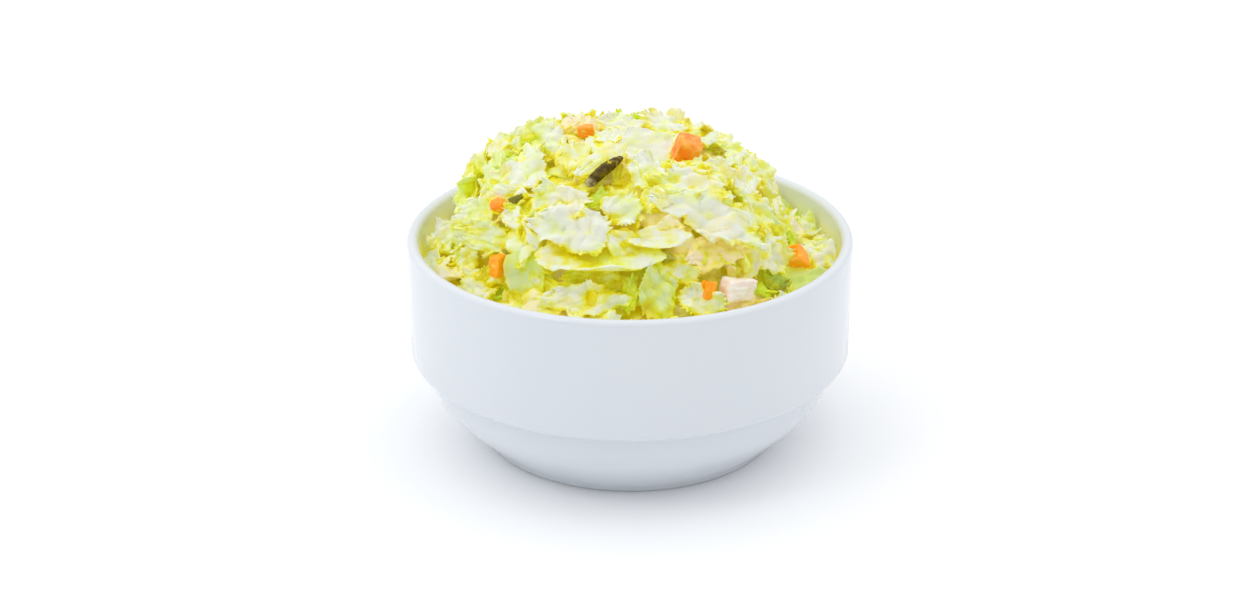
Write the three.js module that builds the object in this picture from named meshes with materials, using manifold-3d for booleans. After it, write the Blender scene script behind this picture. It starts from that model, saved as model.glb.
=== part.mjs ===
// White stacking bowl heaped with chopped cabbage salad, carrot dice and a strip of pickled gherkin.
// Millimetres, +Z up, the origin on the table under the centre of the bowl, the viewer's side at -Y.
// Bearings are degrees round +Z from +X. A climb runs from 0, at the bowl's wall, to 1, at the heap's top.
import * as THREE from "three";
import { mergeVertices } from "three/addons/utils/BufferGeometryUtils.js";
import Module from "manifold-3d";

const wasm = await Module();
wasm.setup();

// Driving dimensions of the bowl
const RIM_RADIUS = 60;
const RIM_HEIGHT = 58.2;
const LIP_RADIUS = 1.6;
const BAND_RADIUS = 59.7;
const BAND_HEIGHT = 26;
const STEP_RADIUS = 56.6;
const STEP_HEIGHT = 23.6;
const STEP_DEPTH = 0.9;
const FOOT_RADIUS = 39.8;
const FOOT_RING_WIDTH = 3.4;
const FOOT_ROUND = 0.8;
const FOOT_RECESS = 1.8;
const INSIDE_FLOOR = 6;
const INSIDE_FLOOR_RADIUS = 30;
const INSIDE_BAND_RADIUS = 56;
const BOWL_SIDES = 64;

// Driving dimensions of the salad
const GAP = 0.3;
const FILL_HEIGHT = 49;
const HEAP_TOP = 84;
const HEAP_LEAN = -4;
const HEAP_SIDES = 32;
const HEAP_STEPS = 10;
const SCRAP_COUNT = 86;
const SCRAP_SEED = 20;
const SCRAP_BITE = 1.3;
const WALL_CLEARANCE = 0.5;

// Finishes, as seen on the real things
const glaze = new THREE.MeshStandardMaterial({ color: 0xeef1f3, roughness: 0.15, metalness: 0 });
const cabbage = new THREE.MeshStandardMaterial({ color: 0xe6eaa8, roughness: 0.4, metalness: 0 });
const carrot = new THREE.MeshStandardMaterial({ color: 0xf4772a, roughness: 0.35, metalness: 0 });
const gherkin = new THREE.MeshStandardMaterial({ color: 0x5c4f14, roughness: 0.3, metalness: 0 });
const stalk = new THREE.MeshStandardMaterial({ color: 0xf6e9de, roughness: 0.4, metalness: 0 });

const radians = THREE.MathUtils.degToRad;
const at = (r, z) => new THREE.Vector2(r, z);

// The same series of numbers from 0 to 1 on every run.
function seededDraw(seed) {
  let state = seed;
  return () => {
    state = (Math.imul(state, 1664525) + 1013904223) >>> 0;
    return state / 2 ** 32;
  };
}

// A closed geometry as a solid that can be joined and cut.
function solidOf(geometry) {
  const bare = new THREE.BufferGeometry();
  bare.setAttribute("position", geometry.getAttribute("position").clone());
  bare.setIndex(geometry.index);
  const merged = mergeVertices(bare, 1e-4);
  const corners = merged.index.array;
  const triVerts = [];
  for (let i = 0; i < corners.length; i += 3) {
    const [a, b, c] = corners.slice(i, i + 3);
    if (a !== b && b !== c && c !== a) triVerts.push(a, b, c);
  }
  return new wasm.Manifold(
    new wasm.Mesh({
      numProp: 3,
      vertProperties: new Float32Array(merged.getAttribute("position").array),
      triVerts: new Uint32Array(triVerts),
    }),
  );
}

function geometryOf(solid) {
  const mesh = solid.getMesh();
  const geometry = new THREE.BufferGeometry();
  geometry.setAttribute("position", new THREE.BufferAttribute(mesh.vertProperties, 3));
  geometry.setIndex(new THREE.BufferAttribute(mesh.triVerts, 1));
  geometry.computeVertexNormals();
  return geometry;
}

function namedMesh(name, geometry, material) {
  const mesh = new THREE.Mesh(geometry, material);
  mesh.name = name;
  return mesh;
}

// Moves each vertex of a geometry in place.
function reshape(geometry, move) {
  const position = geometry.getAttribute("position");
  const vertex = new THREE.Vector3();
  for (let i = 0; i < position.count; i++) {
    vertex.fromBufferAttribute(position, i);
    move(vertex);
    position.setXYZ(i, vertex.x, vertex.y, vertex.z);
  }
  return geometry;
}

// A lathe about +Z of a profile of (radius, height) points that runs up the outside.
function turned(profile, sides) {
  return new THREE.LatheGeometry(profile, sides).rotateX(Math.PI / 2);
}

// Inside of the bowl, from the lip down to the middle of its floor.
function insideProfile() {
  const lipInside = at(RIM_RADIUS - 2 * LIP_RADIUS, RIM_HEIGHT - LIP_RADIUS);
  const bandInside = at(INSIDE_BAND_RADIUS, BAND_HEIGHT + 6);
  const hollow = new THREE.CubicBezierCurve(
    bandInside,
    at(INSIDE_BAND_RADIUS, BAND_HEIGHT / 2),
    at(INSIDE_BAND_RADIUS - 8, INSIDE_FLOOR),
    at(INSIDE_FLOOR_RADIUS, INSIDE_FLOOR),
  );
  return [lipInside, ...hollow.getPoints(6), at(0, INSIDE_FLOOR)];
}

// Bowl: foot ring round a shallow recess, curved lower half, small step, upright band and round lip.
function bowlGeometry() {
  const ringInside = FOOT_RADIUS - FOOT_RING_WIDTH;
  const crease = at(STEP_RADIUS - STEP_DEPTH, STEP_HEIGHT - 0.4 * STEP_DEPTH);
  const lowerHalf = new THREE.CubicBezierCurve(
    at(FOOT_RADIUS, FOOT_ROUND),
    at(FOOT_RADIUS + 0.8 * (crease.x - FOOT_RADIUS), 0.58 * crease.y),
    at(crease.x - 0.12 * (crease.x - FOOT_RADIUS), 0.55 * crease.y),
    crease,
  );
  const shoulder = new THREE.QuadraticBezierCurve(
    at(STEP_RADIUS, STEP_HEIGHT),
    at(BAND_RADIUS - 0.2, STEP_HEIGHT + 0.5 * (BAND_HEIGHT - STEP_HEIGHT)),
    at(BAND_RADIUS, BAND_HEIGHT),
  );
  const lip = new THREE.EllipseCurve(
    RIM_RADIUS - LIP_RADIUS,
    RIM_HEIGHT - LIP_RADIUS,
    LIP_RADIUS,
    LIP_RADIUS,
    0,
    Math.PI,
  );
  return turned(
    [
      at(0, FOOT_RECESS),
      at(ringInside - FOOT_RECESS, FOOT_RECESS),
      at(ringInside, 0),
      at(FOOT_RADIUS - FOOT_ROUND, 0),
      ...lowerHalf.getPoints(7),
      ...shoulder.getPoints(4),
      ...lip.getPoints(6),
      ...insideProfile().slice(1),
    ],
    BOWL_SIDES,
  );
}

// Radius of the bowl's inside at a height, between the points of its profile.
function insideRadius(height) {
  const profile = insideProfile();
  for (let i = 1; i < profile.length; i++) {
    const [upper, lower] = [profile[i - 1], profile[i]];
    if (height >= lower.y && upper.y > lower.y) {
      const share = Math.min(1, (height - lower.y) / (upper.y - lower.y));
      return THREE.MathUtils.lerp(lower.x, upper.x, share);
    }
  }
  return 0;
}

// Top of the bare heap: a low shelf along the wall, steep flanks and a broad crown.
const heapProfile = new THREE.SplineCurve([
  at(insideRadius(FILL_HEIGHT) - GAP, FILL_HEIGHT),
  at(45.5, 53),
  at(40.5, 65),
  at(35.5, 75.5),
  at(22, 82),
  at(0, HEAP_TOP),
]);

// Pushes a turned point of the heap off the round, and leans the heap to the left as it rises.
function heave(point) {
  const rise = THREE.MathUtils.clamp((point.z - FILL_HEIGHT) / (HEAP_TOP - FILL_HEIGHT), 0, 1);
  const bearing = Math.atan2(point.y, point.x);
  const lobes = 0.03 * Math.cos(2 * bearing + 0.6) + 0.02 * Math.cos(3 * bearing + 2.2);
  const swell = 1 + Math.min(1, 4 * rise) * lobes;
  point.set(point.x * swell + HEAP_LEAN * rise, point.y * swell, point.z);
  return point;
}

function heapPoint(bearing, climb) {
  const { x: radius, y: height } = heapProfile.getPoint(THREE.MathUtils.clamp(climb, 0, 1));
  return heave(new THREE.Vector3(radius * Math.cos(bearing), radius * Math.sin(bearing), height));
}

// A frame on the heap: x level round the heap, y up the slope, z straight out of it.
function heapFrame(bearing, climb) {
  const step = 1e-3;
  const origin = heapPoint(bearing, climb);
  const round = heapPoint(bearing + step, climb).sub(heapPoint(bearing - step, climb)).normalize();
  const up = heapPoint(bearing, climb + step).sub(heapPoint(bearing, climb - step)).normalize();
  const out = new THREE.Vector3().crossVectors(round, up).normalize();
  const slope = new THREE.Vector3().crossVectors(out, round);
  return new THREE.Matrix4().makeBasis(round, slope, out).setPosition(origin);
}

// Places a piece on the heap: tipped up on its long side, turned in the plane of the slope, and either
// lifted by a set height or let down until its lowest point bites into the bare heap.
function layOnHeap(geometry, { bearing, climb, turn = 0, tip = 0, lift, bite = SCRAP_BITE }) {
  geometry.rotateX(radians(tip)).rotateZ(radians(turn)).computeBoundingBox();
  const height = lift ?? -bite - geometry.boundingBox.min.z;
  return geometry.translate(0, 0, height).applyMatrix4(heapFrame(radians(bearing), climb));
}

// A scrap of cabbage: a thin wavy plate with rounded ends, cupped along its length.
function scrapGeometry({ length, width, thick, cup = 0, wave = 0, phase = 0, cells = [4, 2] }) {
  const plate = new THREE.BoxGeometry(2, 2, 1, cells[0], cells[1], 1);
  return reshape(plate, (p) => {
    const [along, across] = [p.x, p.y];
    const taper = Math.sqrt(1 - 0.6 * along * along);
    const edge = 1 - 0.5 * Math.max(along * along, across * across);
    const ripple = wave * Math.sin(2.6 * along + 2 * across + phase);
    const bowl = cup * (0.4 * along * along + across * across - 0.5);
    p.set((along * length) / 2, (across * taper * width) / 2, p.z * thick * edge + bowl + ripple);
  });
}

// A diced piece: a block whose corners are knocked off the square.
function diceGeometry([length, width, height], grow = 0) {
  const block = new THREE.BoxGeometry(2, 2, 2, 2, 2, 2);
  return reshape(block, (p) => {
    const swell = 1 - 0.07 * (Math.abs(p.x) + Math.abs(p.y) + Math.abs(p.z));
    const skew = 1 + 0.1 * p.x * p.y - 0.08 * p.y * p.z;
    const size = swell * skew * 1.2;
    p.set(
      p.x * ((size * length) / 2 + grow),
      p.y * ((size * width) / 2 + grow),
      p.z * ((size * height) / 2 + grow),
    );
  });
}

// A strip of gherkin: a long sliver that is widest near one end, with its skin bulging upwards.
function stripGeometry([length, width, height], grow = 0) {
  const sliver = new THREE.BoxGeometry(2, 2, 2, 6, 2, 1);
  return reshape(sliver, (p) => {
    const taper = 0.45 + 0.55 * Math.sqrt(Math.max(0, 1 - (0.95 * p.x + 0.12) ** 2));
    const bulge = p.z > 0 ? 1 - 0.45 * p.y * p.y : 1;
    p.set(
      p.x * (length / 2 + grow),
      p.y * ((taper * width) / 2 + grow),
      p.z * ((bulge * taper * height) / 2 + grow) + 0.04 * length * (1 - p.x * p.x),
    );
  });
}

// Pieces as large as berries that lie in the top of the heap, each a solid of its own.
const TOPPINGS = [
  { name: "carrot_1", shape: diceGeometry, finish: carrot, size: [7.4, 6.4, 6.6],
    bearing: -20, climb: 0.83, turn: 24, tip: 12, lift: 1.9 },
  { name: "carrot_2", shape: diceGeometry, finish: carrot, size: [5.6, 5.2, 5.2],
    bearing: -18, climb: 0.25, turn: 38, tip: -8, lift: 2.2 },
  { name: "carrot_3", shape: diceGeometry, finish: carrot, size: [3.4, 5.4, 4],
    bearing: -139, climb: 0.32, turn: 8, tip: 6, lift: 1.6 },
  { name: "carrot_4", shape: diceGeometry, finish: carrot, size: [3, 4.6, 3.8],
    bearing: -62, climb: 0.285, turn: -14, tip: 4, lift: 1.6 },
  { name: "carrot_5", shape: diceGeometry, finish: carrot, size: [3, 2.8, 3],
    bearing: -145, climb: 0.565, turn: 40, tip: 0, lift: 1.4 },
  { name: "carrot_6", shape: diceGeometry, finish: carrot, size: [4.2, 3, 3],
    bearing: 146, climb: 0.9, turn: -40, tip: 0, lift: 1.4 },
  { name: "gherkin_strip", shape: stripGeometry, finish: gherkin, size: [14, 3.8, 2.6],
    bearing: -97, climb: 0.8, turn: 60, tip: -14, lift: 2.4 },
  { name: "stalk_chunk", shape: diceGeometry, finish: stalk, size: [8.2, 5.6, 5],
    bearing: -52, climb: 0.265, turn: -12, tip: 8, lift: 2 },
];

// Large leaves that give the heap its look, from the front round to the crown.
const LARGE_LEAVES = [
  { bearing: -96, climb: 0.43, length: 27, width: 12, turn: -2, tip: 46, cup: 3 },
  { bearing: -74, climb: 0.5, length: 17, width: 8, turn: 4, tip: 36, cup: 2.2 },
  { bearing: -107, climb: 0.57, length: 23, width: 15, turn: -12, tip: 16, cup: 2 },
  { bearing: -54, climb: 0.59, length: 27, width: 13, turn: -32, tip: 18, cup: 2 },
  { bearing: -142, climb: 0.68, length: 15, width: 13, turn: 20, tip: -12, cup: 1.6 },
  { bearing: 169, climb: 0.66, length: 13, width: 9, turn: 60, tip: -22, cup: 1.4 },
  { bearing: 163, climb: 0.8, length: 15, width: 9, turn: 50, tip: -18, cup: 1.6 },
  { bearing: 84, climb: 0.78, length: 14, width: 8, turn: 6, tip: 16, cup: 1.4 },
  { bearing: 34, climb: 0.75, length: 14, width: 9, turn: -20, tip: 5, cup: 1.6 },
  { bearing: 14, climb: 0.6, length: 15, width: 10, turn: 70, tip: 10, cup: 1.6 },
  { bearing: -26, climb: 0.43, length: 17, width: 8, turn: -58, tip: 14, cup: 1.8 },
  { bearing: -103, climb: 0.26, length: 20, width: 11, turn: 6, tip: -8, cup: 1.6 },
  { bearing: -82, climb: 0.3, length: 15, width: 11, turn: 80, tip: 14, cup: 1.8 },
  { bearing: -127, climb: 0.31, length: 15, width: 11, turn: 76, tip: -12, cup: 2 },
  { bearing: -38, climb: 0.35, length: 15, width: 10, turn: -30, tip: 14, cup: 2 },
  { bearing: -3, climb: 0.5, length: 14, width: 10, turn: 40, tip: 12, cup: 1.6 },
  { bearing: -38, climb: 0.92, length: 12, width: 9, turn: 12, tip: 10, cup: 1.2 },
];

// A share of the heap's area, counted from the wall, as a climb.
function climbAtShare(share) {
  const steps = 200;
  const points = heapProfile.getPoints(steps);
  const areas = points.slice(1).map((p, i) => p.distanceTo(points[i]) * (p.x + points[i].x));
  let left = share * areas.reduce((sum, area) => sum + area, 0);
  const step = areas.findIndex((area) => (left -= area) <= 0);
  return step / steps;
}

// Smaller scraps, spread evenly over the heap along a spiral of golden angles: leaves, shreds and chunks.
function scatteredScraps() {
  const draw = seededDraw(SCRAP_SEED);
  const between = (low, high) => low + (high - low) * draw();
  const goldenAngle = 180 * (3 - Math.sqrt(5));
  return Array.from({ length: SCRAP_COUNT }, (_, i) => {
    const place = {
      bearing: i * goldenAngle,
      climb: climbAtShare(((i + 0.5) / SCRAP_COUNT) * 0.985),
      turn: between(0, 180),
      tip: between(-34, 34),
      phase: between(0, 6.3),
    };
    const shred = { length: between(12, 19), width: between(2.6, 4), cup: between(1, 3), cells: [3, 1] };
    const chunk = { length: between(5, 8), width: between(4, 6), thick: 3.6, cells: [1, 1] };
    const leaf = { length: between(9, 15), width: between(6, 10), cup: between(0.6, 2.2), cells: [2, 2] };
    return { ...place, ...[leaf, leaf, shred, leaf, chunk][i % 5] };
  });
}

// The scrap as a solid, moved towards the axis until it is clear of the bowl, or null.
function fittedScrap(scrap) {
  const geometry = layOnHeap(scrapGeometry({ thick: 1.7, wave: 0.7, ...scrap }), scrap);
  const position = geometry.getAttribute("position");
  const inwards = heapPoint(radians(scrap.bearing), scrap.climb).setZ(0).normalize().negate();
  const vertex = new THREE.Vector3();
  const clear = () => {
    for (let i = 0; i < position.count; i++) {
      vertex.fromBufferAttribute(position, i);
      if (Math.hypot(vertex.x, vertex.y) > insideRadius(vertex.z) - WALL_CLEARANCE) return false;
    }
    return true;
  };
  for (let tries = 0; tries < 8; tries++) {
    if (clear()) return solidOf(geometry);
    geometry.translate(inwards.x, inwards.y, 0);
  }
  return null;
}

// The bare heap: it fills the bowl's inside, a gap away from the glaze, and rises above the rim.
function heapCore() {
  const underside = insideProfile()
    .filter((p) => p.y < FILL_HEIGHT)
    .map((p) => at(Math.max(0, p.x - GAP), p.y + GAP))
    .reverse();
  const top = heapProfile.getPoints(HEAP_STEPS);
  return solidOf(reshape(turned([...underside, ...top], HEAP_SIDES), heave));
}

// The largest body alone, with what was sealed inside it filled.
function mainBody(solid) {
  return solid.decompose().reduce((a, b) => (b.volume() > a.volume() ? b : a));
}

// Salad: the bare heap with sockets for the toppings, and every scrap that clears bowl and toppings.
function saladGeometry() {
  const sockets = TOPPINGS.map((t) => solidOf(layOnHeap(t.shape(t.size, GAP), t)));
  const meetsTopping = (scrap) => sockets.some((socket) => socket.intersect(scrap).volume() > 0);
  const scraps = [...LARGE_LEAVES.map((leaf) => ({ ...leaf, cells: [5, 2] })), ...scatteredScraps()]
    .map(fittedScrap)
    .filter((scrap) => scrap && !meetsTopping(scrap));
  const core = sockets.reduce((heap, socket) => heap.subtract(socket), heapCore());
  return geometryOf(mainBody(wasm.Manifold.union([core, ...scraps])));
}

const saladBowl = new THREE.Group();
saladBowl.add(namedMesh("bowl", bowlGeometry(), glaze));
saladBowl.add(namedMesh("cabbage_salad", saladGeometry(), cabbage));
for (const topping of TOPPINGS) {
  const geometry = layOnHeap(topping.shape(topping.size), topping);
  saladBowl.add(namedMesh(topping.name, geometry, topping.finish));
}

export default saladBowl;
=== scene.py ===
"""Looks of a white stacking bowl heaped with chopped cabbage salad.

Shapes are worked out in millimetres and become metres when a mesh is made. Bearings are degrees round +Z
from +X. A climb runs from 0, at the bowl's wall, to 1, at the top of the heap.
"""
import math

import bpy
import numpy as np
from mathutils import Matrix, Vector
from mathutils.bvhtree import BVHTree


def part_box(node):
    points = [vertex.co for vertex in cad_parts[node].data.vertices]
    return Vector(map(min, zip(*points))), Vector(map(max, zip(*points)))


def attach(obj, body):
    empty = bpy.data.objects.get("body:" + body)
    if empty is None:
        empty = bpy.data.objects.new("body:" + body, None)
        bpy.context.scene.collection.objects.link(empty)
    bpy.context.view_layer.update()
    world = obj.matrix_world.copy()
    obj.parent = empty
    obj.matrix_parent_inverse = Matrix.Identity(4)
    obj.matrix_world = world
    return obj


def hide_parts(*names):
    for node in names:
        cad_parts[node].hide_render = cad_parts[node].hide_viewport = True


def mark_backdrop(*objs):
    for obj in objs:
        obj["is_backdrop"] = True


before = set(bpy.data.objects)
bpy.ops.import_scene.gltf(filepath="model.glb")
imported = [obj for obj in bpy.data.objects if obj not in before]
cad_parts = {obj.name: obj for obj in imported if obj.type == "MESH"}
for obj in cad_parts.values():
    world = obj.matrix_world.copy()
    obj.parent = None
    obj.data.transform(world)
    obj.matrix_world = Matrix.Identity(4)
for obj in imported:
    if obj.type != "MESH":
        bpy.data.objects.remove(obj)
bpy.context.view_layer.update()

MM = 0.001
TURN = 2 * math.pi
GEOMETRY = "NodeSocketGeometry"
FLOAT = "NodeSocketFloat"

# Bowl
RIM_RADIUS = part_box("bowl")[1].x / MM
RIM_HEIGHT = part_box("bowl")[1].z / MM
LIP_RADIUS = 1.6
BAND_RADIUS = 59.7
BAND_HEIGHT = 26.0
STEP_RADIUS = 56.6
STEP_HEIGHT = 23.6
STEP_DEPTH = 0.9
FOOT_RADIUS = 39.8
FOOT_RING_WIDTH = 3.4
FOOT_RECESS = 1.8
INSIDE_BAND_RADIUS = 56.0
INSIDE_BAND_HEIGHT = BAND_HEIGHT + 6
INSIDE_FLOOR = 6.0
INSIDE_FLOOR_RADIUS = 30.0
BOWL_SIDES = 160
LOWER_STEPS = 28
SHOULDER_STEPS = 14
LIP_STEPS = 16
HOLLOW_STEPS = 24
MERGE_METRES = 1e-6

# Heap of salad
FILL_RADIUS = 56.2
FILL_HEIGHT = 49.0
HEAP_TOP = 84.0
HEAP_LEAN = -4.0
HEAP_PROFILE = np.array(
    [(FILL_RADIUS, FILL_HEIGHT), (45.5, 53), (40.5, 65), (35.5, 75.5), (22, 82), (0, HEAP_TOP)]
)
HEAP_LOBES = ((2, 0.03, 0.6), (3, 0.02, 2.2))
HEAP_MIDDLE = (HEAP_LEAN / 2, 0, 45)
HEAP_GRID = (96, 40)
CORE_GRID = (160, 56)
CORE_BELOW = 2.4
CORE_DEPTH = 6
CORE_TINT = 0.45
CORE_LUMPS = ((0.6, 4.0), (0.4, 1.8))
STREWN_SINK = 3.0
LEAF_SINK = 1.6
SINK_CLIMBS = (0, 0.3, 1)
SINK_SHARES = (0.4, 1.0, 0.9)
CREVICE_RAYS = 16
CREVICE_REACH = 11.0
DIM_BELOW = 0.42
CLEAR_OF_WALL = 0.5
SALAD_RADIUS = INSIDE_BAND_RADIUS - CLEAR_OF_WALL
SCRAP_BITE = 1.3

# Leaves
FRILL = 0.5
THIN_MARGIN = 0.7
LEAF_THICK = 1.1
LEAF_CELLS = 24
SHARP_CUT_DEG = 75.0

# Seeds
TOPPING_SEED = 11
LEAF_SEED = 5
STREWN_SEED = 3
CORE_SEED = 9
SEED_STEP = 17

# View
VIEW_TILT = math.radians(23.9)
TO_VIEWER = (0, -math.cos(VIEW_TILT), math.sin(VIEW_TILT))
VIEW_DISTANCE = 700.0
VIEW_TARGET_HEIGHT = 37.3
LENS = 73.4
SENSOR_WIDTH = 36.0
SEARCH_REACH = 60
SEARCH_STEP = 4

# Stage, the softbox in metres
FLOOR_HALF = 3000.0
SOFTBOX_PLACE = (-0.55, -0.45, 0.9)
SOFTBOX_TARGET = (0, 0, 0.05)
SOFTBOX_SIZE = 0.3
SOFTBOX_POWER = 0.7


# Small helpers

def new_mesh(name, points, faces, attributes=None):
    """A smooth mesh from points in millimetres."""
    mesh = bpy.data.meshes.new(name)
    mesh.from_pydata((np.asarray(points) * MM).tolist(), [], [list(f) for f in faces])
    mesh.polygons.foreach_set("use_smooth", np.ones(len(mesh.polygons), bool))
    for key, values in (attributes or {}).items():
        stored = mesh.attributes.new(key, "FLOAT", "POINT")
        stored.data.foreach_set("value", np.asarray(values, np.float32))
    mesh.update()
    return mesh


def new_object(name, mesh, material=None):
    made = bpy.data.objects.new(name, mesh)
    bpy.context.scene.collection.objects.link(made)
    if material:
        mesh.materials.append(material)
    return made


def grown(name, host, tree, settings):
    """The mesh that a tree of geometry nodes makes from a host mesh."""
    host_object = new_object(name, host)
    modifier = host_object.modifiers.new(name, "NODES")
    modifier.node_group = tree
    for socket in tree.interface.items_tree:
        if socket.in_out == "INPUT" and socket.name in settings:
            modifier[socket.identifier] = settings[socket.name]
    evaluated = host_object.evaluated_get(bpy.context.evaluated_depsgraph_get())
    mesh = bpy.data.meshes.new_from_object(evaluated)
    bpy.data.objects.remove(host_object)
    return mesh


def piece(name, mesh, slot, *nodes):
    """A finished piece that rides on the bowl and stands for these solids."""
    mesh.set_sharp_from_angle(angle=math.radians(SHARP_CUT_DEG))
    made = new_object(name, mesh)
    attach(made, "root")
    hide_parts(*nodes)
    return made


def ripple(points, draw, size, waves=9):
    """A smooth random height from -1 to 1 or so at each point, with hollows about that size."""
    points = np.asarray(points, float)
    headings = draw.normal(size=(waves, points.shape[1]))
    headings /= np.linalg.norm(headings, axis=1, keepdims=True)
    headings *= (TURN / (2 * size) * draw.uniform(0.6, 1.8, waves))[:, None]
    return np.sin(points @ headings.T + draw.uniform(0, TURN, waves)).sum(1) / math.sqrt(waves)


def joined(shapes):
    """One shape from several, each (points, faces, attributes)."""
    starts = np.cumsum([0] + [len(points) for points, _, _ in shapes[:-1]])
    points = np.vstack([points for points, _, _ in shapes])
    faces = np.vstack([faces + start for (_, faces, _), start in zip(shapes, starts)])
    attributes = {k: np.concatenate([a[k] for _, _, a in shapes]) for k in shapes[0][2]}
    return points, faces, attributes


def grid_pairs(rows, columns):
    """The row's and the column's value at each place of a grid, row by row."""
    return [g.ravel() for g in np.meshgrid(rows, columns, indexing="ij")]


def unit(v):
    return v / np.linalg.norm(v)


def unit_rows(points):
    return points / (np.linalg.norm(points, axis=1, keepdims=True) + 1e-9)


# Nodes

def fill(tree, inputs, values):
    """Feeds inputs, by name or index, from sockets or with constants."""
    for key, value in values.items():
        if isinstance(value, bpy.types.NodeSocket):
            tree.links.new(value, inputs[key])
        else:
            inputs[key].default_value = value


def node(tree, kind, inputs=None, **settings):
    made = tree.nodes.new(kind)
    for key, value in settings.items():
        setattr(made, key, value)
    fill(tree, made.inputs, inputs or {})
    return made


def output(tree, kind, inputs=None, **settings):
    """The first output of a new node."""
    return node(tree, kind, inputs, **settings).outputs[0]


def new_group(kind, name, inputs, outputs):
    """A node group with named sockets, each (name, socket type, default), and the sockets of its two ends."""
    group = bpy.data.node_groups.new(name, kind)
    for in_out, sockets in (("INPUT", inputs), ("OUTPUT", outputs)):
        for label, socket_type, *default in sockets:
            socket = group.interface.new_socket(label, in_out=in_out, socket_type=socket_type)
            if default:
                socket.default_value = default[0]
    return group, group.nodes.new("NodeGroupInput").outputs, group.nodes.new("NodeGroupOutput").inputs


def math_node(tree, operation, *values):
    return output(tree, "ShaderNodeMath", dict(enumerate(values)), operation=operation)


def vector_math(tree, operation, *values):
    made = node(tree, "ShaderNodeVectorMath", dict(enumerate(values)), operation=operation)
    return made.outputs["Value" if operation == "LENGTH" else "Vector"]


def scaled(tree, vector, scale):
    return output(tree, "ShaderNodeVectorMath", {0: vector, "Scale": scale}, operation="SCALE")


def axis_distance(tree, position):
    """How far a position is from the bowl's axis."""
    return vector_math(tree, "LENGTH", vector_math(tree, "MULTIPLY", position, (1, 1, 0)))


def span(tree, value, low, high, to_low, to_high):
    """A value carried from one range, clamped to it, over to another."""
    limits = {"From Min": low, "From Max": high, "To Min": to_low, "To Max": to_high}
    return output(tree, "ShaderNodeMapRange", {"Value": value, **limits})


def with_value(tree, geometry, name, value, domain):
    """The geometry with a value stored on it by that name."""
    inputs = {"Geometry": geometry, "Name": name, "Value": value}
    return output(tree, "GeometryNodeStoreNamedAttribute", inputs, data_type="FLOAT", domain=domain)


# Bowl

def bezier(steps, *corners):
    """Points along a Bezier curve with these control points, the first one left out."""
    t = np.linspace(0, 1, steps + 1)[1:, None]
    level = [np.asarray(c, float) for c in corners]
    while len(level) > 1:
        level = [(1 - t) * a + t * b for a, b in zip(level, level[1:])]
    return level[0]


def eased(corner, before, after, size, steps=4):
    """A corner of an outline, rounded off over that distance to its two neighbours."""
    corner, before, after = (np.asarray(p, float) for p in (corner, before, after))
    start = corner + (before - corner) / np.linalg.norm(before - corner) * size
    end = corner + (after - corner) / np.linalg.norm(after - corner) * size
    return np.vstack([start, bezier(steps, start, corner, end)])


def bowl_profile():
    """Radius and height along the bowl's section, from under its middle, up and over, to its inside."""
    ring_inside = (FOOT_RADIUS - FOOT_RING_WIDTH, 0)
    foot_edge = (FOOT_RADIUS, 0)
    recess_edge = (ring_inside[0] - FOOT_RECESS, FOOT_RECESS)
    crease = (STEP_RADIUS - STEP_DEPTH, STEP_HEIGHT - 0.4 * STEP_DEPTH)
    step = (STEP_RADIUS, STEP_HEIGHT)
    spread = crease[0] - FOOT_RADIUS
    lower = bezier(
        LOWER_STEPS,
        (FOOT_RADIUS, 0.8),
        (FOOT_RADIUS + 0.8 * spread, 0.58 * crease[1]),
        (crease[0] - 0.12 * spread, 0.55 * crease[1]),
        crease,
    )
    shoulder = bezier(
        SHOULDER_STEPS,
        step,
        (BAND_RADIUS - 0.2, 0.5 * (STEP_HEIGHT + BAND_HEIGHT)),
        (BAND_RADIUS, BAND_HEIGHT),
    )
    turn = np.linspace(0, math.pi, LIP_STEPS + 1)
    lip = LIP_RADIUS * np.stack([np.cos(turn), np.sin(turn)], 1)
    lip += (RIM_RADIUS - LIP_RADIUS, RIM_HEIGHT - LIP_RADIUS)
    band_inside = (INSIDE_BAND_RADIUS, INSIDE_BAND_HEIGHT)
    hollow = bezier(
        HOLLOW_STEPS,
        band_inside,
        (INSIDE_BAND_RADIUS, BAND_HEIGHT / 2),
        (INSIDE_BAND_RADIUS - 8, INSIDE_FLOOR),
        (INSIDE_FLOOR_RADIUS, INSIDE_FLOOR),
    )
    return np.vstack(
        [
            (0, FOOT_RECESS),
            eased(recess_edge, (0, FOOT_RECESS), ring_inside, 0.6),
            eased(ring_inside, recess_edge, foot_edge, 0.5),
            eased(foot_edge, ring_inside, (FOOT_RADIUS + 0.5, 1.0), 0.8),
            lower[:-1],
            eased(crease, lower[-2], step, 0.3),
            eased(step, crease, shoulder[0], 0.28),
            shoulder[1:],
            lip,
            band_inside,
            hollow,
            (0, INSIDE_FLOOR),
        ]
    )


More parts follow.
